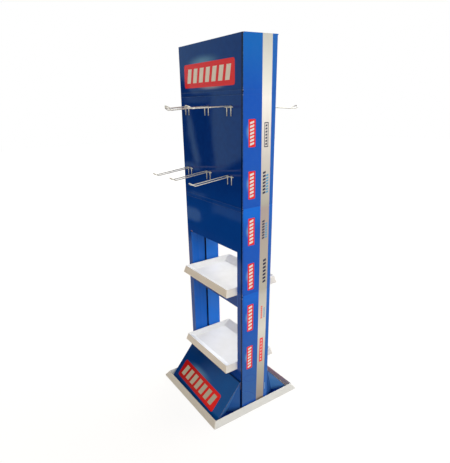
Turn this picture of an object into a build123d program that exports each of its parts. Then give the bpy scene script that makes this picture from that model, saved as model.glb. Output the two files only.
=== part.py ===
from build123d import *
from math import cos, degrees, pi, radians, sin, sqrt, tan
import os

# Cardboard display stand, in millimetres. The origin is on the floor under the middle of
# the tower, +Z is up and the shopper stands on the -Y side.

# Tower: a tall corrugated sleeve glued up from two L-shaped sheets
tower_width = 445.0
tower_depth = 155.0
board = 4.0
glue_tab = 35.0
glue_film = 0.1
fold_slack = 0.5

# Heights from the floor up: lower window, crossbar, upper window, two rows of hooks, header
lower_sill = 226.0
lower_window_height = 328.0
crossbar_height = 58.0
upper_window_height = 199.0
panel_below_hooks = 306.0
hook_row_spacing = 254.0
header_height = 229.0
rear_row_drop = 7.0

# Three fold lines across the tower, each a pair of scores with a relief hole at every corner
fold_above_sill = 5.0
fold_below_hooks = 123.0
fold_above_hooks = 47.0
score_spacing = 16.0
score_width = 2.5
score_depth = 0.8
relief_side = 3.0
relief_height = 6.0

# Two windows through the front and the rear, with the cut board folded inwards beside them
window_margin = 36.5
flap_meeting_gap = 10.0
flap_end_gap = 1.0

# Closed top: a panel from the rear sheet with a tuck flap behind the front panel
tuck_depth = 60.0
tuck_clearance = 0.3

# Formed plastic tray that the tower stands in
tower_fit = 2.5
tray_depth = 506.0
tray_height = 30.0
tray_flare = 11.0
tray_corner = 6.0
tray_wall = 2.5
tray_flange = 9.0
tray_draft = 2.0

# Folded skirts that slope from the tower down to the tray, front and rear, with a creased
# gusset folded inwards at each side
skirt_board = 3.0
skirt_top = 172.0
skirt_side_inset = 8.5
skirt_tray_clearance = 10.0
skirt_tower_clearance = 0.3
glue_flap = 45.0
crease_reach = 64.0
crease_inset = 30.0

# Formed plastic shelves that pass through the windows and stand on their sills
shelf_overhang = 64.5
shelf_height = 34.0
shelf_wall = 2.0
shelf_flare = 6.5
shelf_corner = 5.0
shelf_flange = 5.0
shelf_well_depth = 26.0
shelf_side_slope = 9.0
shelf_end_slope = 38.0
shelf_window_clearance = 1.0
upper_shelf_slide = 8.0

# Wire hooks: a hairpin of wire hung in two slots, with a welded bar and two legs
wire = 4.0
arm_spacing = 26.0
hook_reach = 168.0
short_hook_reach = 90.0
tip_straight = 5.0
tip_angle = 32.0
wire_bend = 9.0
wire_facets = 12
bend_step = 30.0
tang_height = 18.0
bar_overhang = 12.0
leg_wire = 3.6
leg_length = 31.0
weld_sink = 0.6
slot_side_clearance = 1.0
slot_height = 7.0
wire_gap = 0.3
upper_droop = 3.0
lower_droop = 6.0
rear_droop = 4.0
left_hook_margin = 56.5
right_hook_margin = 82.5

half_width = tower_width / 2
half_depth = tower_depth / 2
fold_radius = board / 2 + fold_slack
window_width = tower_width - 2 * window_margin
lower_window_top = lower_sill + lower_window_height
upper_sill = lower_window_top + crossbar_height
upper_window_top = upper_sill + upper_window_height
lower_row = upper_window_top + panel_below_hooks
upper_row = lower_row + hook_row_spacing
rear_row = upper_row - rear_row_drop
tower_height = upper_row + header_height
fold_levels = (upper_sill + fold_above_sill, lower_row - fold_below_hooks, upper_row + fold_above_hooks)
floor_top = tray_wall
wire_radius = wire / 2
first_column = -half_width + left_hook_margin
hook_pitch = (half_width - right_hook_margin - first_column) / 2

os.makedirs("parts", exist_ok=True)


def cut_fold_lines():
    """Press the paired scores into the outer faces and punch the relief holes at the corners."""
    for level in fold_levels:
        for side in (-1, 1):
            height = level + side * score_spacing / 2 - score_width / 2
            with BuildSketch(Plane.XY.offset(height)) as score:
                Rectangle(2 * tower_width, 2 * tower_depth)
                Rectangle(tower_width - 2 * score_depth, tower_depth - 2 * score_depth, mode=Mode.SUBTRACT)
            extrude(score.sketch, amount=score_width, mode=Mode.SUBTRACT)
        with BuildSketch(Plane.XY.offset(level - relief_height / 2)) as relief:
            with GridLocations(tower_width, tower_depth, 2, 2):
                Rectangle(2 * relief_side, 2 * relief_side)
        extrude(relief.sketch, amount=relief_height, mode=Mode.SUBTRACT)


def cut_windows(face):
    """Cut both windows through the panel that lies on this Y side and add their folded side flaps."""
    for sill, top in ((lower_sill, lower_window_top), (upper_sill, upper_window_top)):
        height = top - sill
        inside = face * (half_depth - 2 * board)
        with BuildSketch(Plane((0, inside, sill + height / 2), x_dir=(1, 0, 0), z_dir=(0, face, 0))) as window:
            Rectangle(window_width, height)
        extrude(window.sketch, amount=3 * board, mode=Mode.SUBTRACT)

        flap_length = half_depth - flap_meeting_gap / 2
        with BuildSketch(Plane.XY.offset(sill + flap_end_gap)) as flaps:
            with Locations((0, face * (half_depth - flap_length / 2))):
                with GridLocations(window_width + board, 0, 2, 1):
                    Rectangle(board, flap_length)
            corners = flaps.vertices().filter_by(
                lambda point: abs(point.Y) > half_depth - 1 and abs(point.X) < window_width / 2 + board / 2
            )
            fillet(corners, fold_radius)
        extrude(flaps.sketch, amount=height - 2 * flap_end_gap)


def cut_hook_slots(face, rows):
    """Cut the pairs of upright slots that the hook wires pass through."""
    for row in rows:
        bottom = row - wire_radius - wire_gap
        inside = face * (half_depth - 2 * board)
        with BuildSketch(Plane((0, inside, 0), x_dir=(1, 0, 0), z_dir=(0, face, 0))) as slots:
            for column in range(3):
                middle = first_column + column * hook_pitch
                height = bottom + slot_height / 2
                with Locations((middle, -face * height)):
                    with GridLocations(arm_spacing, 0, 2, 1):
                        Rectangle(wire + 2 * slot_side_clearance, slot_height)
        extrude(slots.sketch, amount=3 * board, mode=Mode.SUBTRACT)


# Front sheet: front panel, left side panel, and a glue tab behind the right side panel
tab_line = half_width - 1.5 * board - glue_film
with BuildPart() as front_wrap:
    with BuildSketch(Plane.XY.offset(floor_top)):
        with BuildLine():
            FilletPolyline(
                (tab_line, -half_depth + glue_tab),
                (tab_line, -half_depth + board / 2),
                (-half_width + board / 2, -half_depth + board / 2),
                (-half_width + board / 2, half_depth),
                radius=fold_radius,
            )
        trace(line_width=board)
    extrude(amount=tower_height - floor_top)
    with Locations((0, board, tower_height)):
        Box(2 * tower_width, tower_depth, 2 * board, mode=Mode.SUBTRACT)
    cut_windows(-1)
    cut_hook_slots(-1, (upper_row, lower_row))
    cut_fold_lines()
front_wrap.part.label = "front_wrap"
export_step(front_wrap.part, "parts/front_wrap.step")

# Rear sheet: rear panel, right side panel, a glue tab behind the left side panel, and the top
with BuildPart() as rear_wrap:
    with BuildSketch(Plane.XY.offset(floor_top)):
        with BuildLine():
            FilletPolyline(
                (-tab_line, half_depth - glue_tab),
                (-tab_line, half_depth - board / 2),
                (half_width - board / 2, half_depth - board / 2),
                (half_width - board / 2, -half_depth),
                radius=fold_radius,
            )
        trace(line_width=board)
    extrude(amount=tower_height - board - floor_top)
    cut_windows(1)
    cut_hook_slots(1, (rear_row,))
    cut_fold_lines()
    front_gap = board + tuck_clearance
    with BuildSketch(Plane.XY.offset(tower_height - board)):
        with Locations((0, front_gap / 2)):
            Rectangle(tower_width, tower_depth - front_gap)
    extrude(amount=board)
    with BuildSketch(Plane.XY.offset(tower_height - tuck_depth)):
        with Locations((0, -half_depth + front_gap + board / 2)):
            Rectangle(tower_width - 4 * board - 2 * fold_radius, board)
    extrude(amount=tuck_depth)
    rear_fold = rear_wrap.edges().filter_by(Axis.X).group_by(Axis.Z)[-1].sort_by(Axis.Y)[-1]
    fillet(rear_fold, fold_radius)
rear_wrap.part.label = "rear_wrap"
export_step(rear_wrap.part, "parts/rear_wrap.step")


def formed_tray(foot, rim, mouth, well, corner, wall, height, floor, bottom, shift):
    """Form one hollow tray: an outer skirt from foot to rim, and a well from mouth down to its floor.

    foot, rim, mouth and well are (width, depth) pairs. The tray is open underneath, between skirt and well.
    """
    inner = 2 * wall
    stages = (
        (foot, rim, 0.0, height, 0.0, Mode.ADD),
        (foot, rim, 0.0, height - wall, -inner, Mode.SUBTRACT),
        (well, mouth, floor - wall, height, inner, Mode.ADD),
        (well, mouth, floor, height, 0.0, Mode.SUBTRACT),
    )
    for low, high, start, end, grow, mode in stages:
        radius = corner + grow / 2 if grow < 0 else corner
        with BuildSketch(Plane.XY.offset(bottom + start)) as lower_outline:
            with Locations((0, shift)):
                RectangleRounded(low[0] + grow, low[1] + grow, radius)
        with BuildSketch(Plane.XY.offset(bottom + end)) as upper_outline:
            with Locations((0, shift)):
                RectangleRounded(high[0] + grow, high[1] + grow, radius)
        loft([lower_outline.sketch, upper_outline.sketch], mode=mode)


# Base tray: its floor and the foot of its skirt both stand on the ground
well_width = tower_width + 2 * tower_fit
mouth_width = well_width + 2 * tray_draft
rim_width = mouth_width + 2 * tray_flange
tray_width = rim_width + 2 * tray_flare
rim_depth = tray_depth - 2 * tray_flare
mouth_depth = rim_depth - 2 * tray_flange
well_depth = mouth_depth - 2 * tray_draft
with BuildPart() as base_tray:
    formed_tray(
        foot=(tray_width, tray_depth),
        rim=(rim_width, rim_depth),
        mouth=(mouth_width, mouth_depth),
        well=(well_width, well_depth),
        corner=tray_corner,
        wall=tray_wall,
        height=tray_height,
        floor=floor_top,
        bottom=0.0,
        shift=0.0,
    )
base_tray.part.label = "base_tray"
export_step(base_tray.part, "parts/base_tray.step")

# Shelves: each stands with the foot of its skirt on the two window sills
shelf_width = window_width - 2 * shelf_window_clearance
shelf_depth = tower_depth + 2 * shelf_overhang
shelf_rim = (shelf_width - 2 * shelf_flare, shelf_depth - 2 * shelf_flare)
shelf_mouth = (shelf_rim[0] - 2 * shelf_flange, shelf_rim[1] - 2 * shelf_flange)
shelf_well = (shelf_mouth[0] - 2 * shelf_side_slope, shelf_mouth[1] - 2 * shelf_end_slope)
for name, sill, slide in (("upper_shelf", upper_sill, upper_shelf_slide), ("lower_shelf", lower_sill, 0.0)):
    with BuildPart() as shelf:
        formed_tray(
            foot=(shelf_width, shelf_depth),
            rim=shelf_rim,
            mouth=shelf_mouth,
            well=shelf_well,
            corner=shelf_corner,
            wall=shelf_wall,
            height=shelf_height,
            floor=shelf_height - shelf_well_depth,
            bottom=sill,
            shift=slide,
        )
    shelf.part.label = name
    export_step(shelf.part, f"parts/{name}.step")

# Skirts: one folded sheet each, with a glue flap on the tower, a sloping panel, a floor flap
# and a gusset at each side. A gusset is two triangles that meet in a crease from the top corner.
skirt_width = tower_width - 2 * skirt_side_inset
skirt_near = half_depth + skirt_tower_clearance
skirt_fold = skirt_board / 2 + fold_slack
floor_line = floor_top + skirt_board / 2
slope_near = skirt_near + skirt_board / 2
slope_far = well_depth / 2 - skirt_tray_clearance - skirt_board / 2
slope = (skirt_top - floor_line) / (slope_far - slope_near)
inset = 1.5 * skirt_board
for name, face in (("front_skirt", -1), ("rear_skirt", 1)):
    with BuildPart() as skirt:
        with BuildSketch(Plane.YZ):
            with BuildLine():
                FilletPolyline(
                    (face * slope_near, skirt_top - glue_flap),
                    (face * slope_near, skirt_top),
                    (face * slope_far, floor_line),
                    (face * (skirt_near + skirt_board), floor_line),
                    radius=skirt_fold,
                )
            trace(line_width=skirt_board)
        extrude(amount=skirt_width / 2, both=True)
        for side in (-1, 1):
            edge = side * (skirt_width / 2 - skirt_board / 2)
            apex = Vector(edge, face * (slope_near + inset), skirt_top - inset * slope)
            slope_foot = Vector(edge, face * (slope_far - inset), floor_line + inset * slope)
            crease_foot = Vector(edge - side * crease_inset, face * (half_depth + crease_reach), floor_line)
            tower_foot = Vector(edge, face * (slope_near + inset), floor_line)
            for first, second in ((slope_foot, crease_foot), (crease_foot, tower_foot)):
                facet = Plane(apex, x_dir=first - apex, z_dir=(first - apex).cross(second - apex))
                with BuildSketch(facet):
                    with BuildLine():
                        Polyline(
                            *[facet.to_local_coords(corner) for corner in (apex, first, second)],
                            close=True,
                        )
                    make_face()
                extrude(amount=skirt_board / 2, both=True)
    skirt.part.label = name
    export_step(skirt.part, f"parts/{name}.step")

def wire_section(diameter):
    """Draw a wire's section as a regular polygon with the same area as the round wire."""
    side_angle = 2 * pi / wire_facets
    RegularPolygon(diameter / 2 * sqrt(side_angle / sin(side_angle)), wire_facets)


def bent_route(path):
    """Give the points of a bent wire, each bend taken in short straight steps."""
    points = []
    for run in path.edges():
        turn = degrees(run.length / run.radius) if run.geom_type == GeomType.CIRCLE else 0
        steps = max(1, round(turn / bend_step))
        points += [run @ (step / steps) for step in range(steps)]
    return points + [path @ 1]


# Hooks: the hairpin comes out of its slots, droops to an elbow and turns up at the tip
half_gap = arm_spacing / 2
leg_top = weld_sink - wire
hooks = (
    ("hook_upper_left", -1, 0, upper_row, upper_droop, short_hook_reach),
    ("hook_upper_middle", -1, 1, upper_row, upper_droop, hook_reach),
    ("hook_upper_right", -1, 2, upper_row, upper_droop, hook_reach),
    ("hook_lower_left", -1, 0, lower_row, lower_droop, hook_reach),
    ("hook_lower_middle", -1, 1, lower_row, lower_droop, hook_reach),
    ("hook_lower_right", -1, 2, lower_row, lower_droop, hook_reach),
    ("rear_hook_left", 1, 0, rear_row, rear_droop, hook_reach),
    ("rear_hook_middle", 1, 1, rear_row, rear_droop, hook_reach),
    ("rear_hook_right", 1, 2, rear_row, rear_droop, hook_reach),
)
for name, face, column, row, droop, reach in hooks:
    middle = first_column + column * hook_pitch
    right = middle + half_gap
    left = middle - half_gap
    panel = face * half_depth
    behind = panel - face * (board + wire_radius + wire_gap)
    front = panel + face * 2 * wire
    elbow = panel + face * reach
    elbow_height = row - (reach - 2 * wire) * tan(radians(droop))
    tip_run = half_gap + tip_straight + wire_bend * tan(radians((droop + tip_angle) / 2))
    tip = elbow + face * tip_run * cos(radians(tip_angle))
    tip_height = elbow_height + tip_run * sin(radians(tip_angle))
    turn = half_gap - wire_gap
    with BuildPart() as hook:
        with BuildLine():
            smooth = FilletPolyline(
                (right, behind, row + tang_height),
                (right, behind, row),
                (right, front, row),
                (right, elbow, elbow_height),
                (right, tip, tip_height),
                (left, tip, tip_height),
                (left, elbow, elbow_height),
                (left, front, row),
                (left, behind, row),
                (left, behind, row + tang_height),
                radius=(wire, wire_bend, wire_bend, turn, turn, wire_bend, wire_bend, wire),
                mode=Mode.PRIVATE,
            )
            hairpin = Polyline(*bent_route(smooth))
        with BuildSketch(Plane(hairpin @ 0, z_dir=hairpin % 0)):
            wire_section(wire)
        sweep(path=hairpin, transition=Transition.RIGHT)
        bar_line = panel + face * (wire_radius + wire_gap)
        with BuildSketch(Plane.YZ.offset(middle)):
            with Locations((bar_line, row + leg_top)):
                wire_section(wire)
        extrude(amount=half_gap + bar_overhang, both=True)
        with BuildSketch(Plane.XY.offset(row + leg_top - leg_length)):
            with Locations((left, bar_line), (right, bar_line)):
                wire_section(leg_wire)
        extrude(amount=leg_length)
    hook.part.label = name
    export_step(hook.part, f"parts/{name}.step")
    print(f"{name}: hairpin {hairpin.length:.1f} mm, volume {hairpin.length * pi * wire_radius ** 2:.0f} mm3")
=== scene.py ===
import math

import bmesh
import bpy
from mathutils import Matrix, Quaternion, Vector


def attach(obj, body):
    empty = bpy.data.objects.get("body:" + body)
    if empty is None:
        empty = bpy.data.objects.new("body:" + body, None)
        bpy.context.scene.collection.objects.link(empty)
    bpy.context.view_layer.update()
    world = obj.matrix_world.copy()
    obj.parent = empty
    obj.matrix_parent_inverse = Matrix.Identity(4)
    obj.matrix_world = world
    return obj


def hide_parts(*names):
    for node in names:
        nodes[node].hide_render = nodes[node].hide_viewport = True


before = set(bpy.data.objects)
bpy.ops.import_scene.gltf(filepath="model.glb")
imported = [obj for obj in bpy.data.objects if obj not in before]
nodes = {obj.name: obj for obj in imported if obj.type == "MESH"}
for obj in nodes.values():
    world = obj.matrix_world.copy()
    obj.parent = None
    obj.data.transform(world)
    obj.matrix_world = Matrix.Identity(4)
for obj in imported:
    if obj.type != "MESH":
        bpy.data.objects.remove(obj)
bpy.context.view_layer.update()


# The stand is seen from its front right corner, from about eye height, by a lens a little
# wider than normal. Two shifts frame it as the photograph does. The picture, the lens and the
# point straight ahead are in its pixels.
picture_width = 450.0
picture_height = 463.0
lens_pixels = 401.6
ahead_column = 209.6
ahead_row = 268.5
sensor = 36.0
eye = (1.4381, -1.0061, 1.3925)
heading = math.radians(57.7)
dip = math.radians(-22.7)
roll = math.radians(-1.8)
sight = bpy.data.cameras.new("sight")
sight.sensor_width = sensor
sight.lens = lens_pixels / picture_height * sensor
sight.shift_x = (picture_width / 2 - ahead_column) / picture_height
sight.shift_y = (ahead_row - picture_height / 2) / picture_height
sight.clip_start = 0.05
sight.clip_end = 60.0
viewer = bpy.data.objects.new("viewer", sight)
bpy.context.scene.collection.objects.link(viewer)
bpy.context.scene.camera = viewer
forward = Vector(
    (-math.sin(heading) * math.cos(dip), math.cos(heading) * math.cos(dip), math.sin(dip))
)
level_right = Vector((math.cos(heading), math.sin(heading), 0.0))
level_up = level_right.cross(forward)
right = level_right * math.cos(roll) + level_up * math.sin(roll)
up = level_up * math.cos(roll) - level_right * math.sin(roll)
turn = Matrix((right, up, -forward)).transposed().to_4x4()
viewer.matrix_world = Matrix.Translation(eye) @ turn


# The tower is a sleeve of corrugated board, glued up from two printed sheets under a gloss
# film. The front and rear are navy, the sides royal blue with a silver stripe. Its cut edges
# and its inside are bare brown board.
tower_half_width = 222.5
tower_half_depth = 77.5
tower_height = 1600.0
corner_round = 4.5
window_half_width = 186.0
window_bottom = 226.0
window_top = 811.0
fold_levels = (617.0, 994.0, 1418.0)
score_offset = 8.0
slot_rows = ((1368.0, 15.0), (1119.0, 11.0))
lid_edge = -73.3
seam_edge = 213.0
board_thick = 4.0
flute_pitch = 6.5
flute_half_height = 1.3
print_depth = 1.0
film_ior = 1.25
film_roughness = 0.035
bare_roughness = 0.85
side_bulge = 5.0
navy = (0.0008, 0.031, 0.235, 1.0)
navy_bright = (0.001, 0.066, 0.41, 1.0)
navy_dark = (0.0005, 0.010, 0.055, 1.0)
royal = (0.003, 0.098, 0.555, 1.0)
royal_fold_highlight = (0.001, 0.165, 0.76, 1.0)
royal_greyer_low = (0.022, 0.112, 0.37, 1.0)
royal_top_highlight = (0.001, 0.150, 0.57, 1.0)
royal_rear = (0.022, 0.150, 0.55, 1.0)
royal_foot_shadow = (0.002, 0.062, 0.42, 1.0)
royal_dent_shade = (0.006, 0.065, 0.36, 1.0)
flap_blue = (0.008, 0.135, 0.60, 1.0)
flap_lit_blue = (0.022, 0.200, 0.78, 1.0)
# Painted reflection: the light blue of the soft patches that stand for reflections on the film
reflection_blue = (0.20, 0.48, 0.75, 1.0)
label_red = (0.88, 0.022, 0.022, 1.0)
label_cream = (0.86, 0.82, 0.74, 1.0)
label_white = (0.88, 0.80, 0.76, 1.0)
kraft = (0.36, 0.21, 0.105, 1.0)
kraft_pale = (0.47, 0.31, 0.18, 1.0)
flute_hollow_shade = (0.05, 0.03, 0.018, 1.0)
notch_shade_navy = (0.006, 0.016, 0.055, 1.0)
worn_and_highlight_ink = (0.16, 0.28, 0.50, 1.0)
pale_streak_ink = (0.30, 0.50, 0.60, 1.0)
scuffed = (0.55, 0.54, 0.48, 1.0)
ink_dark = (0.03, 0.03, 0.07, 1.0)
ink_sky = (0.10, 0.33, 0.56, 1.0)

# The silver stripe catches the light of the room differently in each panel between folds:
# its colour at each share of the tower's height
stripe_middle = 35.0
stripe_half_width = 22.5
stripe_metallic = 0.5
stripe_roughness = 0.26
stripe_stops = (
    (0.02, (0.33, 0.27, 0.235)),
    (0.12, (0.45, 0.42, 0.345)),
    (0.265, (0.74, 0.71, 0.63)),
    (0.378, (0.56, 0.53, 0.47)),
    (0.392, (0.49, 0.455, 0.375)),
    (0.616, (0.45, 0.365, 0.325)),
    (0.628, (0.48, 0.445, 0.37)),
    (0.74, (0.68, 0.63, 0.57)),
    (0.872, (1.0, 0.95, 0.87)),
    (0.91, (0.86, 0.84, 0.75)),
    (1.0, (0.61, 0.60, 0.54)),
)

# Side labels: the height of the middle, and half the length up the panel
side_label_offset = 33.0
side_label_half_width = 16.5
side_slant = 0.25
side_labels = (
    (1277.0, 49.0),
    (1086.5, 53.5),
    (899.0, 57.0),
    (701.5, 60.5),
    (503.0, 66.0),
    (296.0, 61.0),
)

# Marks on the stripe: the height of the middle, half the length, the place across, half the
# width and the ink. A row of bars may have a smaller twin beside it, in an ink of its own. A
# field has a row in it, and is a frame or solid
bar_marks = (
    (1089.0, 43.0, 28.5, 7.0, ink_dark, ink_sky),
    (897.0, 39.0, 29.0, 6.4, ink_dark, ink_sky),
    (711.0, 54.0, 39.5, 8.0, ink_dark, None),
    (511.0, 31.0, 30.5, 4.6, label_red, ink_sky),
)
field_marks = (
    (1267.5, 44.5, 35.0, 10.0, ink_dark, "frame"),
    (311.5, 64.5, 34.0, 9.5, label_red, "solid"),
)

header_offset = 2.5
header_level = 1485.0
header_slant = 0.22


class Shade:
    """One socket of a material in the making. Arithmetic on it adds Math nodes."""

    def __init__(self, tree, socket=None):
        self.tree = tree
        self.socket = socket

    def node(self, kind, settings=(), inputs=(), output=0):
        """Add any node: its settings first, then the values or links of its sockets."""
        made = self.tree.nodes.new(kind)
        for name, setting in dict(settings).items():
            if name == "stops":
                ramp = made.color_ramp
                while len(ramp.elements) < len(setting):
                    ramp.elements.new(1.0)
                for element, (place, colour) in zip(ramp.elements, setting):
                    element.position = place
                    element.color = (*colour, 1.0)
            else:
                setattr(made, name, setting)
        for name, given in dict(inputs).items():
            if isinstance(given, Shade):
                self.tree.links.new(given.socket, made.inputs[name])
            else:
                made.inputs[name].default_value = given
        return Shade(self.tree, made.outputs[output])

    def math(self, operation, first, second=0.0):
        return self.node("ShaderNodeMath", {"operation": operation}, {0: first, 1: second})

    def __add__(self, other):
        return self.math("ADD", self, other)

    def __radd__(self, other):
        return self.math("ADD", other, self)

    def __sub__(self, other):
        return self.math("SUBTRACT", self, other)

    def __rsub__(self, other):
        return self.math("SUBTRACT", other, self)

    def __mul__(self, other):
        return self.math("MULTIPLY", self, other)

    def __rmul__(self, other):
        return self.math("MULTIPLY", other, self)

    def __truediv__(self, other):
        return self.math("DIVIDE", self, other)

    def __pow__(self, other):
        return self.math("POWER", self, other)

    def __abs__(self):
        return self.math("ABSOLUTE", self)

    def at_most(self, other):
        return self.math("MINIMUM", self, other)

    def at_least(self, other):
        return self.math("MAXIMUM", self, other)

    def rise(self, low, high):
        """0 below low, 1 above high, smooth between. With high under low it falls instead."""
        settings = {"interpolation_type": "SMOOTHSTEP"}
        if low < high:
            return self.node("ShaderNodeMapRange", settings, {0: self, 1: low, 2: high})
        return 1 - self.node("ShaderNodeMapRange", settings, {0: self, 1: high, 2: low})

    def blend(self, factor, first, second):
        """Mix two colours."""
        sockets = {0: factor, 6: first, 7: second}
        return self.node("ShaderNodeMix", {"data_type": "RGBA"}, sockets, 2)

    def noise(self, place, scale, detail=2.0, roughness=0.5):
        sockets = {"Vector": place, "Scale": scale, "Detail": detail, "Roughness": roughness}
        return self.node("ShaderNodeTexNoise", (), sockets, 0)

    def split(self, vector):
        return [self.node("ShaderNodeSeparateXYZ", (), {0: vector}, axis) for axis in range(3)]

    def facing(self):
        """The way that the surface faces, as x, y and z."""
        return self.split(self.node("ShaderNodeNewGeometry", (), (), "Normal"))


def start_material(name):
    """Open a new material: its tree as a Shade, its shader node, and x, y and z in millimetres."""
    material = bpy.data.materials.new(name)
    material.use_nodes = True
    shade = Shade(material.node_tree)
    place = shade.node("ShaderNodeTexCoord", (), (), "Object")
    millimetres = shade.node("ShaderNodeVectorMath", {"operation": "SCALE"}, {0: place, 3: 1000.0})
    shader = material.node_tree.nodes["Principled BSDF"]
    return material, shade, shader, millimetres, shade.split(millimetres)


def connect(shade, shader, colour, roughness, relief):
    """Join colour and roughness to the shader, and the relief, in millimetres, as a bump."""
    sockets = {"Strength": 1.0, "Distance": 0.001, "Height": relief}
    bump = shade.node("ShaderNodeBump", (), sockets)
    for name, given in (("Base Color", colour), ("Roughness", roughness), ("Normal", bump)):
        shade.tree.links.new(given.socket, shader.inputs[name])


def rounded_box(across, along, half_across, half_along, radius, edge=1.2):
    """1 inside a rounded rectangle, 0 outside, with an edge as soft as print."""
    beyond_across = (abs(across) - (half_across - radius)).at_least(0.0)
    beyond_along = (abs(along) - (half_along - radius)).at_least(0.0)
    distance = (beyond_across * beyond_across + beyond_along * beyond_along) ** 0.5
    return distance.rise(radius + edge / 2, radius - edge / 2)


def bar_row(along, across, half_length, half_height, slant):
    """A row of seven slanting bars, the plain motif inside each label."""
    pitch = half_length / 3.3
    half_bar = pitch * 0.31
    leaning = along - across * slant
    from_bar = leaning.math("PINGPONG", leaning, pitch / 2)
    bars = from_bar.rise(half_bar + 0.5, half_bar - 0.5)
    return bars * rounded_box(leaning, across, half_length + 0.5, half_height, 1.0)


def soft_reflection_patch(across, along, half_across, half_along):
    """A long soft patch for a painted reflection, fading to nothing at its rim."""
    spread = (across / half_across) ** 2.0 + (along / half_along) ** 2.0
    return (1 - spread).at_least(0.0) ** 3.0


def side_print(shade, along, z, grain):
    """The print of a side panel, read along it from its left, and where its stripe is."""
    # Painted highlight: the side is brighter towards the top, where the board tips back under a
    # fold
    side = shade.blend(z.rise(1380.0, tower_height), royal, royal_top_highlight)
    # Darker and greyer towards the foot
    side = shade.blend(z.rise(640.0, 40.0), side, royal_greyer_low)
    side = shade.blend(grain.rise(0.35, 0.65) * 0.12, side, royal_rear)

    # Painted highlight: the board tips back under the two lower folds and is painted brighter there
    fold_highlight = 0.0 * z
    for level in fold_levels[:2]:
        nearing = z.rise(level - 95.0, level - 12.0)
        fold_highlight = fold_highlight.at_least(nearing * z.rise(level + 6.0, level + 2.0))
    side = shade.blend(fold_highlight * (0.6 + z.rise(600.0, 900.0) * 0.4), side, royal_fold_highlight)
    side = shade.blend(along.rise(55.0, 66.0) * 0.7, side, royal_rear)
    side = shade.blend(along.rise(-67.0, -74.0) * 0.25, side, navy)

    shine = shade.node("ShaderNodeValToRGB", {"stops": stripe_stops}, {0: z / tower_height})
    stripe = abs(along - stripe_middle).rise(stripe_half_width + 0.7, stripe_half_width - 0.7)
    side = shade.blend(stripe, side, shine)

    # Each label has a row of bars in it and a painted reflection at its left
    from_label = along + side_label_offset
    for middle, half in side_labels:
        painted_reflection = soft_reflection_patch(along + 48.0, z - middle - 6.0, half_across=19.0, half_along=40.0)
        side = shade.blend(painted_reflection * (1 - stripe) * 0.7, side, reflection_blue)
        field = rounded_box(from_label, z - middle, side_label_half_width, half, radius=3.0)
        bars = bar_row(z - middle, from_label, half - 8.0, 9.5, side_slant)
        side = shade.blend(field, side, label_red)
        side = shade.blend(bars, side, label_white)

    for middle, half, across, half_across, ink, twin_ink in bar_marks:
        upwards = z - middle
        sideways = along - across
        bars = bar_row(upwards, sideways, half, half_across, side_slant)
        side = shade.blend(bars, side, ink)
        if twin_ink:
            twin = bar_row(
                upwards + 5.0, sideways - 15.0, half - 7.0, half_across - 0.6, side_slant
            )
            side = shade.blend(twin, side, twin_ink)

    for middle, half, across, half_across, ink, form in field_marks:
        upwards = z - middle
        sideways = along - across
        field = rounded_box(sideways, upwards, half_across, half, radius=2.0)
        row = bar_row(upwards, sideways, half - 8.0, 4.0, side_slant)
        if form == "frame":
            inner = rounded_box(sideways, upwards, half_across - 3.0, half - 3.5, radius=1.0)
            side = shade.blend((field * (1 - inner)).at_least(row), side, ink)
        else:
            side = shade.blend(field, side, ink)
            side = shade.blend(row * 0.6, side, label_white)
    return side, stripe


def front_print(shade, along, z, cloud, grain):
    """The print of the front or rear: navy with a red label on the header, and painted reflections.
    """
    # Painted reflection: the navy is brighter low on the panel, in soft clouds
    front = shade.blend(z.rise(1150.0, 900.0) * (0.6 + cloud * 0.5), navy, navy_bright)
    front = shade.blend(grain.rise(0.35, 0.65) * 0.15, front, navy_bright)
    # Painted reflections above and below the header label, the lower one cream
    reflection_above = soft_reflection_patch(along + 38.0, z - 1529.0, half_across=150.0, half_along=36.0)
    reflection_below = soft_reflection_patch(along - 20.0, z - 1441.0, half_across=130.0, half_along=14.0)
    front = shade.blend(reflection_above * 0.6, front, reflection_blue)
    front = shade.blend(reflection_below * 0.4, front, label_cream)
    sideways = along + header_offset
    upwards = z - header_level
    label = rounded_box(sideways, upwards, half_across=177.5, half_along=44.0, radius=10.0)
    bars = bar_row(sideways, upwards, half_length=150.0, half_height=26.0, slant=header_slant)
    front = shade.blend(label, front, label_red)
    return shade.blend(bars, front, label_cream)


def bare_board(shade, place, depth, wave, cut_level):
    """Brown liners, with the wave of the corrugated medium between them at a level cut, and painted
    shade in its hollows.
    """
    middle = board_thick / 2
    medium = abs(depth - middle - wave * flute_half_height).rise(0.55, 0.3)
    liner = abs(depth - middle).rise(1.25, 1.5)
    inside = depth.rise(board_thick + 0.4, board_thick - 0.2)
    hollow_shade = (1 - medium.at_least(liner)) * cut_level * inside
    fibre = shade.noise(place, 0.9, 4.0, 0.7)
    bare = shade.blend(fibre.rise(0.3, 0.7), kraft, kraft_pale)
    return shade.blend(hollow_shade, bare, flute_hollow_shade)


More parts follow.
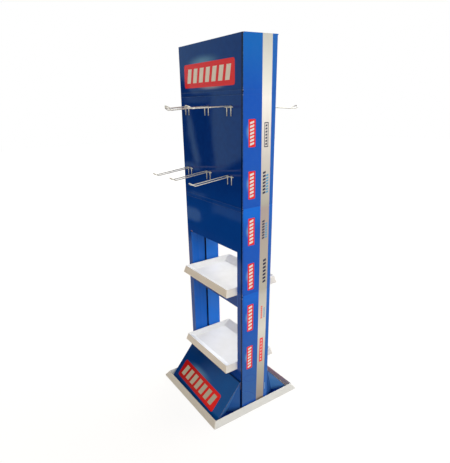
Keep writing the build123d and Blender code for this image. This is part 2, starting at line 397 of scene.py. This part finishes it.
def printed_tower(name):
    material, shade, shader, place, (x, y, z) = start_material(name)
    over_x = abs(x) - (tower_half_width - corner_round)
    over_y = abs(y) - (tower_half_depth - corner_round)
    outside = (over_x.at_least(0.0) ** 2.0 + over_y.at_least(0.0) ** 2.0) ** 0.5
    depth = corner_round - outside - over_x.at_least(over_y).at_most(0.0)
    on_front = (over_y - over_x).rise(-0.4, 0.4)
    facing = shade.facing()
    cloud = shade.noise(place, 0.010, 2.0)
    grain = shade.noise(place, 0.05, 3.0)
    speckle = shade.noise(place, 0.35, 2.0)

    # The art is the same on opposite faces, so it is read along each face from its own left.
    # The side panels bulge, so their art is shifted towards the top and foot
    from_middle = y * shade.math("SIGN", x)
    along_side = from_middle + ((z - 800.0) / 750.0) ** 2.0 * side_bulge
    along_front = 0 - x * shade.math("SIGN", y)

    # Where there is print: the outer skin, the folded window flaps, the lid and both seams
    skin = depth.rise(print_depth + 0.1, print_depth - 0.1)
    above_sill = z.rise(window_bottom - 1.0, window_bottom)
    beside_window = above_sill * z.rise(window_top + 1.0, window_top)
    flap = beside_window * abs(x).rise(window_half_width - 0.8, window_half_width - 0.4)
    flap = flap * abs(x).rise(window_half_width + 1.4, window_half_width + 1.0)
    lid = z.rise(tower_height - 2.0, tower_height - 1.2) * y.rise(lid_edge - 0.1, lid_edge + 0.1)
    by_seam = abs(x).rise(seam_edge - 0.4, seam_edge + 0.4) * on_front
    seam = (x * y).rise(1.0, -1.0) * by_seam * abs(y).rise(69.0, 70.0)
    printed = skin.at_least(flap).at_least(lid).at_least(seam)

    side, stripe = side_print(shade, along_side, z, grain)
    front = front_print(shade, along_front, z, cloud, grain)
    front = shade.blend(seam, front, navy_dark)
    colour = shade.blend(on_front, side, front)
    # Painted light: the flaps on the rear left and front right are painted brighter blue, as lit
    lit_far_flap = from_middle.rise(2.0, -2.0)
    colour = shade.blend(flap, colour, shade.blend(lit_far_flap, flap_blue, flap_lit_blue))

    # Paired scores at each fold: painted shade in each groove, and a pale lip, part rub, part
    # painted highlight
    groove_shade = 0.0 * z
    lip_rub_and_highlight = 0.0 * z
    for level in fold_levels:
        for score in (-score_offset, score_offset):
            groove_shade = groove_shade.at_least(abs(z - (level + score)).rise(1.6, 0.9))
            lip_rub_and_highlight = lip_rub_and_highlight.at_least(abs(z - (level + score - 2.4)).rise(1.3, 0.5))
    colour = shade.blend(groove_shade * on_front * 0.15, colour, navy_dark)
    lip_rub_and_highlight = lip_rub_and_highlight * (0.25 + on_front * 0.75)
    colour = shade.blend(lip_rub_and_highlight * (0.05 + speckle.rise(0.45, 0.65) * 0.20), colour, worn_and_highlight_ink)

    # The ink is worn off the four upright folds in specks, and more of it where they are scored
    corner = (over_x + over_y).rise(7.4, 8.6)
    colour = shade.blend(corner * speckle.rise(0.52, 0.60) * 0.6, colour, worn_and_highlight_ink)
    by_fold = 0.0 * z
    for level in fold_levels:
        by_fold = by_fold.at_least(abs(z - level).rise(15.0, 9.0))
    colour = shade.blend(by_fold * corner * speckle.rise(0.42, 0.50) * 0.8, colour, scuffed)

    # Low on the right side: a pressed ring and a curved crease with painted shade in them, a pale
    # streak, and a painted shadow of the tray along the foot
    on_right = x.rise(200.0, 210.0)
    on_side = 1 - on_front
    ring = ((y + 31.0) / 37.0) ** 2.0 + ((z - 168.0 + y * 0.3) / 19.0) ** 2.0
    dent_and_shade = abs(ring - 1.0).rise(0.30, 0.08) * 0.8
    run = y + 66.0
    line = abs(z - 117.0 + run * 0.42 + run * run * 0.0058).rise(3.2, 1.2)
    dent_and_shade = dent_and_shade.at_least(line * y.rise(-68.0, -62.0) * y.rise(4.0, -2.0)) * on_right
    colour = shade.blend(dent_and_shade * (1 - stripe) * on_side * 0.55, colour, royal_dent_shade)
    pale_streak = rounded_box(y - 61.0, z - 92.0, 2.2, 20.0, radius=2.0, edge=3.0) * on_right * on_side
    colour = shade.blend(pale_streak * 0.5, colour, pale_streak_ink)
    foot_shadow = z.rise(47.0, 40.0) * on_side
    colour = shade.blend(foot_shadow * 0.5 * (1 - stripe), colour, royal_foot_shadow)

    # Bare board, with painted shade in the corner notches, the hook slots and behind the flaps, and
    # showing at a torn corner of the window
    reading = shade.node("ShaderNodeMix", {"data_type": "FLOAT"}, {0: on_front, 2: y, 3: x})
    wave = shade.math("SINE", reading * (2 * math.pi / flute_pitch))
    bare = bare_board(shade, place, depth, wave, abs(facing[2]).rise(0.6, 0.8))
    notch = over_x.rise(1.0, 1.2) * over_y.rise(1.0, 1.2)
    upper, lower = (abs(z - row).rise(half + 1.0, half - 1.0) for row, half in slot_rows)
    slots = upper.at_least(lower) * depth.rise(board_thick + 0.2, board_thick - 0.2)
    behind_flap = beside_window * abs(x).rise(window_half_width - 1.0, window_half_width - 0.6)
    bare = shade.blend(notch.at_least(slots).at_least(behind_flap), bare, notch_shade_navy)
    torn = rounded_box(x + 182.0, z - 810.0, 8.0, 5.0, radius=2.0) * y.rise(-62.0, -66.0)
    colour = shade.blend(printed * (1 - torn * 0.8), bare, colour)

    # The film over the print is glossy and lies a little unevenly over the board
    dents = shade.noise(place, 0.006, 2.0) * 0.5 + shade.noise(place, 0.03, 2.0) * 0.03
    relief = dents + wave * printed * 0.003 - lip_rub_and_highlight * 0.1 - dent_and_shade * 0.4
    sheen = grain * 0.03 + film_roughness + stripe * on_side * stripe_roughness
    shader.inputs["IOR"].default_value = film_ior
    silver = stripe * on_side * skin * stripe_metallic
    shade.tree.links.new(silver.socket, shader.inputs["Metallic"])
    connect(shade, shader, colour, bare_roughness - (bare_roughness - sheen) * printed, relief)
    return material


tower_print = printed_tower("printed_board")
for name in ("front_wrap", "rear_wrap"):
    for held in nodes[name].material_slots:
        held.material = tower_print


# Two folded skirts of thinner printed board slope from the tower into the foot tray. Each is
# glued to the tower by a flap behind its top edge, and has a creased gusset at each side.
slope_top = 172.0
slope_foot = 4.0
slope_near = 79.3
slope_far = 219.5
skirt_half_width = 214.0
skirt_label_offset = 13.0
skirt_label_down = 152.0
skirt_label_tilt = 0.037
skirt_ior = 1.17
skirt_roughness = 0.09
skirt_navy = (0.001, 0.038, 0.200, 1.0)
skirt_teal = (0.001, 0.085, 0.340, 1.0)
skirt_label_red = (0.48, 0.008, 0.010, 1.0)
skirt_label_highlight_red = (0.84, 0.012, 0.012, 1.0)
skirt_bar_grey = (0.51, 0.475, 0.385, 1.0)
gusset_lit = (0.060, 0.200, 0.50, 1.0)
gusset_shaded = (0.025, 0.105, 0.34, 1.0)
gusset_edge = (0.17, 0.12, 0.11, 1.0)
floor_flap_shadow_navy = (0.001, 0.030, 0.20, 1.0)
floor_flap_blue = (0.010, 0.080, 0.42, 1.0)


def printed_skirt(name):
    material, shade, shader, place, (x, y, z) = start_material(name)
    facing = shade.facing()
    slope_length = math.hypot(slope_top - slope_foot, slope_far - slope_near)
    down = (slope_top - z) * (slope_length / (slope_top - slope_foot))
    along = 0 - x * shade.math("SIGN", y)
    on_slope = facing[2].rise(0.4, 0.6) * z.rise(7.0, 9.0)
    cloud = shade.noise(place, 0.012, 2.0)
    grain = shade.noise(place, 0.05, 3.0)
    speckle = shade.noise(place, 0.35, 2.0)

    # The slope: darker at the upper left, with a painted reflection above a label hung a little
    # askew
    towards_teal = (along + down * 0.5).rise(-90.0, 170.0) * (0.7 + cloud * 0.5)
    face = shade.blend(towards_teal, skirt_navy, skirt_teal)
    painted_reflection = soft_reflection_patch(along + 48.0, down - 104.0, half_across=140.0, half_along=38.0)
    face = shade.blend(painted_reflection * 0.4, face, reflection_blue)
    sideways = along + skirt_label_offset
    across = down - skirt_label_down - along * skirt_label_tilt
    label = rounded_box(sideways, across, half_across=171.0, half_along=46.0, radius=10.0)
    bars = bar_row(sideways, 0 - across, half_length=145.0, half_height=28.0, slant=header_slant)
    # Painted highlight: the label's red grows brighter towards the right
    lit_label_ink = shade.blend(along.rise(-120.0, 170.0), skirt_label_red, skirt_label_highlight_red)
    face = shade.blend(label, face, lit_label_ink)
    face = shade.blend(bars, face, skirt_bar_grey)
    # Painted shade along the slope's top edge, where it meets the tower
    face = shade.blend(down.rise(9.0, 4.0) * 0.8, face, navy_dark)

    # The gussets, painted lit or shaded by how each facet faces, and the flap on the tray's floor
    gusset = shade.blend(facing[2].rise(-0.10, -0.20), gusset_shaded, gusset_lit)
    cut_edge = abs(x).rise(skirt_half_width - 0.3, skirt_half_width - 0.1)
    gusset = shade.blend(cut_edge * speckle.rise(0.40, 0.60), gusset, gusset_edge)
    # Painted shadow: the floor flap is navy near the tower and bluer further out
    floor_flap = shade.blend(abs(y).rise(130.0, 180.0), floor_flap_shadow_navy, floor_flap_blue)
    colour = shade.blend(abs(facing[0]).rise(0.5, 0.7), floor_flap, gusset)
    colour = shade.blend(on_slope, colour, face)

    edge = abs(x).rise(skirt_half_width - 2.4, skirt_half_width - 0.8) * on_slope
    colour = shade.blend(edge * speckle.rise(0.4, 0.6) * 0.4, colour, worn_and_highlight_ink)
    relief = shade.noise(place, 0.008, 2.0) * 0.9 + shade.noise(place, 0.03, 2.0) * 0.06
    shader.inputs["IOR"].default_value = skirt_ior
    connect(shade, shader, colour, grain * 0.05 + skirt_roughness, relief)
    return material


skirt_print = printed_skirt("printed_skirt")
for name in ("front_skirt", "rear_skirt"):
    for held in nodes[name].material_slots:
        held.material = skirt_print


# The foot tray and the two shelves are formed from white polystyrene sheet over a mould. The
# sheet draws in round corners, leans outwards to its foot and is open underneath. A stage is
# the width, depth and height of one edge, from the tray's floor over its rim to its foot.
tray_stages = ((450, 462, 2.5), (454, 466, 30.0), (459, 471, 30.0), (494, 506, 1.9))
shelf_stages = ((329, 185, 8.0), (347, 261, 34.0), (352, 266, 34.0), (370, 284, 1.2))
tray_corner = 6.0
tray_wall = 2.5
shelf_corner = 5.0
shelf_wall = 2.0
corner_steps = 6
lip_round = 0.9
lip_steps = 3
lip_angle = 25.0
sheet_ior = 1.45
sheet_roughness = 0.26
tray_white = (0.655, 0.645, 0.61, 1.0)
upper_lit_white = (0.98, 0.98, 0.975, 1.0)
lower_shaded_white = (0.85, 0.85, 0.85, 1.0)
outer_wall_shade = (0.83, 0.785, 0.725, 1.0)
scuff_grey = (0.60, 0.58, 0.54, 1.0)

# Shelves: the piece, the solid it replaces, how far it is pushed back, and its sill's height
shelf_places = (
    ("shelf_upper", "upper_shelf", 8.0, 612.0),
    ("shelf_lower", "lower_shelf", 0.0, 226.0),
)


def formed_plastic(name, high_white, low_white, outer_shade):
    """White sheet, toned by height as painted light, with its outer walls painted darker as shade.
    """
    material, shade, shader, place, (x, y, z) = start_material(name)
    cloud = shade.noise(place, 0.02, 3.0)
    scuff = shade.noise(place, 0.25, 4.0, 0.7)
    facing = shade.facing()
    outside = (facing[0] * x + facing[1] * y).rise(40.0, 90.0)
    # Painted light and shade: lighter high up, darker low down, and darker and warmer on outer
    # walls
    tone = shade.blend(z.rise(300.0, 600.0), low_white, high_white)
    tone = shade.blend(outside, tone, outer_shade)
    tone = shade.blend(cloud.rise(0.35, 0.65) * 0.1, tone, scuff_grey)
    tone = shade.blend(scuff.rise(0.62, 0.72) * 0.2, tone, scuff_grey)
    relief = shade.noise(place, 0.012, 2.0) * 0.3 + shade.noise(place, 1.5, 2.0) * 0.003
    roughness = shade.noise(place, 0.08, 3.0) * 0.15 + sheet_roughness
    shader.inputs["IOR"].default_value = sheet_ior
    connect(shade, shader, tone, roughness, relief)
    return material


def drawn_ring(mesh, edges):
    """Extrude a ring of edges, and give the new ring's vertices and edges."""
    drawn = bmesh.ops.extrude_edge_only(mesh, edges=edges)["geom"]
    verts = [part for part in drawn if isinstance(part, bmesh.types.BMVert)]
    ring = [
        part
        for part in drawn
        if isinstance(part, bmesh.types.BMEdge) and all(end in verts for end in part.verts)
    ]
    return verts, ring


def to_metres(mesh):
    bmesh.ops.scale(mesh, vec=(0.001, 0.001, 0.001), verts=mesh.verts)
    bmesh.ops.recalc_face_normals(mesh, faces=mesh.faces)


def set_up(mesh, name):
    """Hand a finished mesh to an object of its own, at the origin."""
    data = bpy.data.meshes.new(name)
    mesh.to_mesh(data)
    mesh.free()
    piece = bpy.data.objects.new(name, data)
    bpy.context.scene.collection.objects.link(piece)
    return piece


def formed_tray(name, stages, shift, corner, wall, material):
    """Draw a tray outwards from its floor, one stage after another."""
    mesh = bmesh.new()
    bmesh.ops.create_grid(mesh, x_segments=1, y_segments=1, size=0.5)
    width, depth, height = stages[0]
    bmesh.ops.scale(mesh, vec=(width, depth, 1.0), verts=mesh.verts)
    bmesh.ops.translate(mesh, vec=(0.0, 0.0, height), verts=mesh.verts)
    ring = mesh.edges[:]
    corners = []
    for (was_wide, was_deep, was_high), (wide, deep, high) in zip(stages, stages[1:]):
        moved, ring = drawn_ring(mesh, ring)
        bmesh.ops.scale(mesh, vec=(wide / was_wide, deep / was_deep, 1.0), verts=moved)
        bmesh.ops.translate(mesh, vec=(0.0, 0.0, high - was_high), verts=moved)
        corners += [edge for edge in mesh.edges if len(set(edge.verts) & set(moved)) == 1]
    bmesh.ops.bevel(
        mesh,
        geom=corners,
        offset=corner,
        offset_type="OFFSET",
        segments=corner_steps,
        profile=0.5,
        affect="EDGES",
        material=-1,
        clamp_overlap=True,
    )
    bmesh.ops.translate(mesh, vec=shift, verts=mesh.verts)
    to_metres(mesh)
    tray = set_up(mesh, name)
    rounded = tray.modifiers.new("rounded", "BEVEL")
    rounded.width = lip_round / 1000
    rounded.segments = lip_steps
    rounded.limit_method = "ANGLE"
    rounded.angle_limit = math.radians(lip_angle)
    thick = tray.modifiers.new("thick", "SOLIDIFY")
    thick.thickness = wall / 1000
    thick.offset = -1.0
    tray.modifiers.new("even", "WEIGHTED_NORMAL")
    tray.data.materials.append(material)
    for face in tray.data.polygons:
        face.use_smooth = True
    return tray


tray_plastic = formed_plastic("tray_plastic", tray_white, tray_white, tray_white)
shelf_plastic = formed_plastic("shelf_plastic", upper_lit_white, lower_shaded_white, outer_wall_shade)
foot_tray = formed_tray(
    "foot_tray", tray_stages, (0.0, 0.0, 0.0), tray_corner, tray_wall, tray_plastic
)
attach(foot_tray, "root")
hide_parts("base_tray")
for name, node, slide, sill in shelf_places:
    shelf = formed_tray(
        name, shelf_stages, (0.0, slide, sill), shelf_corner, shelf_wall, shelf_plastic
    )
    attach(shelf, "root")
    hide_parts(node)


# Each hook is bent from one length of zinc plated wire: up behind the panel, out through its
# slot, along, up at the tip and back the same way. A bar and two legs are welded across it.
wire = 4.0
leg_wire = 3.6
leg_length = 31.0
arm_spacing = 26.0
bar_overhang = 12.0
tang_height = 18.0
slot_bend = 4.0
arm_bend = 9.0
tip_rise = 32.0
tip_straight = 3.0
behind_panel = 6.3
in_front = 8.0
bar_out = 2.3
bar_drop = 3.4
wire_sides = 14
bend_step = 9.0
rod_end_round = 0.4
zinc_metallic = 0.7
zinc_roughness = 0.25
zinc_bright = (0.66, 0.64, 0.56, 1.0)
zinc_dull = (0.54, 0.52, 0.46, 1.0)
zinc_tarnished = (0.36, 0.33, 0.27, 1.0)

# Hooks: the solid it replaces, the side of the tower (-1 front, 1 rear), the middle across,
# the height of its row, its droop in degrees and its reach
hook_places = (
    ("hook_upper_left", -1, -166.0, 1371.0, 3.0, 90.0),
    ("hook_upper_middle", -1, -13.0, 1371.0, 3.0, 168.0),
    ("hook_upper_right", -1, 140.0, 1371.0, 1.0, 168.0),
    ("hook_lower_left", -1, -166.0, 1117.0, 6.0, 168.0),
    ("hook_lower_middle", -1, -13.0, 1117.0, 6.0, 168.0),
    ("hook_lower_right", -1, 140.0, 1117.0, 6.0, 168.0),
    ("rear_hook_left", 1, -166.0, 1364.0, 4.0, 168.0),
    ("rear_hook_middle", 1, -13.0, 1364.0, 4.0, 168.0),
    ("rear_hook_right", 1, 140.0, 1364.0, 4.0, 168.0),
)


def plated_wire(name):
    material, shade, shader, place, _ = start_material(name)
    cloud = shade.noise(place, 0.15, 3.0)
    tarnish = shade.noise(place, 0.5, 4.0, 0.7)
    colour = shade.blend(cloud.rise(0.3, 0.7), zinc_bright, zinc_dull)
    colour = shade.blend(tarnish.rise(0.6, 0.75) * 0.4, colour, zinc_tarnished)
    relief = shade.noise(place, 3.0, 2.0) * 0.01
    shader.inputs["Metallic"].default_value = zinc_metallic
    connect(shade, shader, colour, tarnish * 0.2 + zinc_roughness, relief)
    return material


def bend_wire(mesh, start, aim, steps):
    """Run a wire from start. Each step is a length to go straight, or the radius, the axis
    and the angle of a bend."""
    aim = Vector(aim).normalized()
    ring = bmesh.ops.create_circle(
        mesh, cap_ends=True, radius=wire / 2, segments=wire_sides
    )["verts"]
    upright = Vector((0, 0, 1)).rotation_difference(aim).to_matrix()
    bmesh.ops.rotate(mesh, verts=ring, matrix=upright, cent=(0, 0, 0))
    bmesh.ops.translate(mesh, vec=start, verts=ring)
    middle = Vector(start)
    edges = list(dict.fromkeys(edge for vert in ring for edge in vert.link_edges))
    for step in steps:
        if len(step) == 1:
            ring, edges = drawn_ring(mesh, edges)
            bmesh.ops.translate(mesh, vec=aim * step[0], verts=ring)
            middle = middle + aim * step[0]
        else:
            radius, axis, angle = step
            axis = Vector(axis)
            centre = middle + axis.cross(aim) * radius
            swing = Quaternion(axis, angle)
            segments = max(2, round(abs(math.degrees(angle)) / bend_step))
            last = bmesh.ops.spin(
                mesh,
                geom=edges,
                cent=centre,
                axis=axis,
                dvec=(0, 0, 0),
                angle=angle,
                steps=segments,
                use_merge=False,
                use_normal_flip=False,
                use_duplicate=False,
            )["geom_last"]
            edges = [part for part in last if isinstance(part, bmesh.types.BMEdge)]
            middle = centre + swing @ (middle - centre)
            aim = swing @ aim
    bmesh.ops.contextual_create(mesh, geom=edges)


def welded_rod(mesh, low, high, thick):
    """Lay one straight rod between two points, with its cut ends barely rounded."""
    low, high = Vector(low), Vector(high)
    rod = bmesh.ops.create_cone(
        mesh,
        cap_ends=True,
        segments=wire_sides,
        radius1=thick / 2,
        radius2=thick / 2,
        depth=(high - low).length,
    )["verts"]
    aim = Vector((0, 0, 1)).rotation_difference(high - low).to_matrix()
    bmesh.ops.rotate(mesh, verts=rod, matrix=aim, cent=(0, 0, 0))
    bmesh.ops.translate(mesh, vec=(low + high) / 2, verts=rod)
    edges = dict.fromkeys(edge for vert in rod for edge in vert.link_edges)
    rims = [edge for edge in edges if any(len(face.verts) > 4 for face in edge.link_faces)]
    bmesh.ops.bevel(
        mesh,
        geom=rims,
        offset=rod_end_round,
        segments=2,
        profile=0.5,
        affect="EDGES",
        material=-1,
    )


bright_wire = plated_wire("plated_wire")
for node, swing, middle_x, row, droop_degrees, reach in hook_places:
    mesh = bmesh.new()
    panel = swing * tower_half_depth
    droop = math.radians(droop_degrees)
    rise = math.radians(tip_rise)
    half_gap = arm_spacing / 2
    arm = (reach - in_front) / math.cos(droop)
    elbow_cut = arm_bend * math.tan((droop + rise) / 2)
    droop_cut = arm_bend * math.tan(droop / 2)
    # Bends are about the X axis: a positive turn about +X swings +Y towards +Z
    out = (
        (tang_height - slot_bend,),
        (slot_bend, (swing, 0, 0), math.pi / 2),
        (in_front + behind_panel - slot_bend - droop_cut,),
        (arm_bend, (-swing, 0, 0), droop),
        (arm - droop_cut - elbow_cut,),
        (arm_bend, (swing, 0, 0), droop + rise),
        (tip_straight,),
    )
    tip_axis = Vector((0.0, -math.sin(rise) * swing, math.cos(rise)))
    back = tuple(
        step if len(step) == 1 else (step[0], tuple(-part for part in step[1]), step[2])
        for step in reversed(out)
    )
    bend_wire(
        mesh,
        (middle_x + half_gap, panel - swing * behind_panel, row + tang_height),
        (0, 0, -1),
        out + ((half_gap, tuple(tip_axis * swing), math.pi),) + back,
    )
    bar_y = panel + swing * bar_out
    bar_z = row - bar_drop
    bar_half = half_gap + bar_overhang
    welded_rod(mesh, (middle_x - bar_half, bar_y, bar_z), (middle_x + bar_half, bar_y, bar_z), wire)
    for side in (-1, 1):
        leg_x = middle_x + side * half_gap
        welded_rod(mesh, (leg_x, bar_y, bar_z - leg_length), (leg_x, bar_y, bar_z), leg_wire)
    to_metres(mesh)
    hook = set_up(mesh, "wire_" + node)
    for face in hook.data.polygons:
        face.use_smooth = len(face.vertices) == 4
    hook.data.materials.append(bright_wire)
    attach(hook, "root")
    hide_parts(node)


# The floor is a wide sheet of pale paper that keeps the stand's shadow. The camera and the
# reflections see it lit to white, but reflections see it dark from about 1.2 m before the
# front, which keeps the navy deep above the window.
floor_radius = 14.0
floor_sides = 64
floor_light = 1.50
floor_light_share = 0.6
floor_dark_share = 0.97
floor_white = (0.31, 0.285, 0.245, 1.0)
paper_white = (1.0, 1.0, 1.0, 1.0)
floor_dark = (0.04, 0.045, 0.05, 1.0)
floor_mesh = bmesh.new()
bmesh.ops.create_circle(floor_mesh, cap_ends=True, radius=floor_radius, segments=floor_sides)
floor = set_up(floor_mesh, "floor")
floor_paint = bpy.data.materials.new("floor_paint")
floor_paint.use_nodes = True
paper = Shade(floor_paint.node_tree)
straight = paper.node("ShaderNodeLightPath", (), (), "Is Camera Ray")
mirrored = paper.node("ShaderNodeLightPath", (), (), "Is Glossy Ray")
floor_x, floor_y, _ = paper.split(paper.node("ShaderNodeTexCoord", (), (), "Object"))
far_off = ((floor_x * floor_x + floor_y * floor_y) ** 0.5).rise(2.5, 6.0)
before_front = mirrored * floor_y.rise(-1.15, -1.30)
lit_share = straight.at_least(mirrored) * (floor_light_share + far_off * 0.1)
lit_share = lit_share.at_least(before_front * floor_dark_share)
glare = paper.blend(before_front, paper_white, floor_dark)
matt = paper.node("ShaderNodeBsdfDiffuse", (), {"Color": floor_white})
lit = paper.node("ShaderNodeEmission", (), {"Color": glare, "Strength": floor_light})
mixed = paper.node("ShaderNodeMixShader", (), {0: lit_share, 1: matt, 2: lit})
floor_output = floor_paint.node_tree.nodes["Material Output"]
floor_paint.node_tree.links.new(mixed.socket, floor_output.inputs["Surface"])
floor.data.materials.append(floor_paint)


# The card stands 1.4 m before the front panel, and only reflections see it. It carries the
# soft light of a room's windows. Its pattern is written in the millimetres of the front panel
# in which the viewer sees it mirrored.
card_width = 1.7
card_height = 1.95
card_middle = (-2.35, -1.5, 0.98)
mirror_scale = 0.39494
mirror_across = 870.06
mirror_up = 842.4
card_gloom = 0.06
card_light = (0.55, 0.87, 1.0, 1.0)

# Soft patches: middle across, height, half width, half height, corner, softness and strength
card_patches = (
    (-95.0, 1398.0, 95.0, 12.0, 8.0, 12.0, 0.6),
    (-158.0, 1124.0, 78.0, 16.0, 12.0, 12.0, 0.8),
    (-112.0, 1004.0, 70.0, 10.0, 8.0, 8.0, 0.5),
    (-165.0, 900.0, 72.0, 28.0, 26.0, 16.0, 1.0),
    (-80.0, 822.0, 60.0, 16.0, 10.0, 10.0, 0.9),
)
card_mesh = bmesh.new()
bmesh.ops.create_grid(card_mesh, x_segments=1, y_segments=1, size=0.5)
bmesh.ops.scale(card_mesh, vec=(card_width, card_height, 1.0), verts=card_mesh.verts)
bmesh.ops.rotate(
    card_mesh, verts=card_mesh.verts, matrix=Matrix.Rotation(math.pi / 2, 3, "X"), cent=(0, 0, 0)
)
bmesh.ops.translate(card_mesh, vec=card_middle, verts=card_mesh.verts)
card = set_up(card_mesh, "card")
card_paint, card_shade, _, _, (card_x, _, card_z) = start_material("card_paint")
across = card_x * mirror_scale + mirror_across
height = card_z * mirror_scale + mirror_up
header = (height + across * 0.87).rise(1290.0, 1325.0) * height.rise(1412.0, 1424.0)
pane = (across + height * 0.095).rise(138.0, 148.0)
pane = pane * (height - across * 0.435).rise(1080.0, 1112.0) * height.rise(1440.0, 1425.0)
streak = abs(across + height * 0.32 - 262.0).rise(26.0, 9.0)
streak = streak * height.rise(1120.0, 1160.0) * height.rise(1400.0, 1290.0)
low_pane = rounded_box(across - 115.0, height - 967.0, 125.0, 24.0, radius=8.0, edge=16.0)
low_pane = low_pane * across.rise(0.0, 30.0)
glimmer = (header * 1.1).at_least(pane * 1.15).at_least(streak * 1.5).at_least(low_pane * 0.55)
for middle, level, half_across, half_up, radius, softness, strength in card_patches:
    patch = rounded_box(across - middle, height - level, half_across, half_up, radius, softness)
    glimmer = glimmer.at_least(patch * strength)
card_glow = card_shade.node(
    "ShaderNodeEmission", (), {"Color": card_light, "Strength": glimmer + card_gloom}
)
card_output = card_paint.node_tree.nodes["Material Output"]
card_paint.node_tree.links.new(card_glow.socket, card_output.inputs["Surface"])
card.data.materials.append(card_paint)
for sort in ("camera", "diffuse", "transmission", "volume_scatter", "shadow"):
    setattr(card, "visible_" + sort, False)


# The world is white to the camera, to reflections and through clear things, and a dim warm
# light to everything else.
sky_white = (1.0, 1.0, 1.0, 1.0)
sky_dim = (0.20, 0.187, 0.165, 1.0)
world = bpy.data.worlds.new("studio")
bpy.context.scene.world = world
world.use_nodes = True
sky = Shade(world.node_tree)
camera_ray = sky.node("ShaderNodeLightPath", (), (), "Is Camera Ray")
glossy_ray = sky.node("ShaderNodeLightPath", (), (), "Is Glossy Ray")
through_ray = sky.node("ShaderNodeLightPath", (), (), "Is Transmission Ray")
tint = sky.blend(camera_ray.at_least(glossy_ray).at_least(through_ray), sky_dim, sky_white)
backdrop = world.node_tree.nodes["Background"]
world.node_tree.links.new(tint.socket, backdrop.inputs["Color"])


# Four soft lamps: the main one for the side that is seen, from the right, one from the front,
# a stronger one from the rear, and a weak warm one from the front left.
def lamp(name, towards, strength, colour, spread):
    """A soft sun: it shines from the given side."""
    light = bpy.data.lights.new(name, "SUN")
    light.energy = strength
    light.color = colour
    light.angle = math.radians(spread)
    held = bpy.data.objects.new(name, light)
    held.rotation_mode = "QUATERNION"
    held.rotation_quaternion = Vector(towards).to_track_quat("Z", "Y")
    bpy.context.scene.collection.objects.link(held)


lamp("main_lamp", (0.93, -0.08, 0.30), 1.58, (0.98, 1.0, 1.03), 50.0)
lamp("front_lamp", (0.40, -0.62, 0.67), 0.78, (1.0, 0.94, 0.85), 60.0)
lamp("rear_lamp", (-0.12, 0.80, 0.59), 3.10, (0.97, 1.0, 1.03), 60.0)
lamp("warm_lamp", (-0.50, -0.80, 0.33), 0.42, (1.0, 0.62, 0.20), 60.0)

scene = bpy.context.scene
scene.view_settings.view_transform = "Standard"
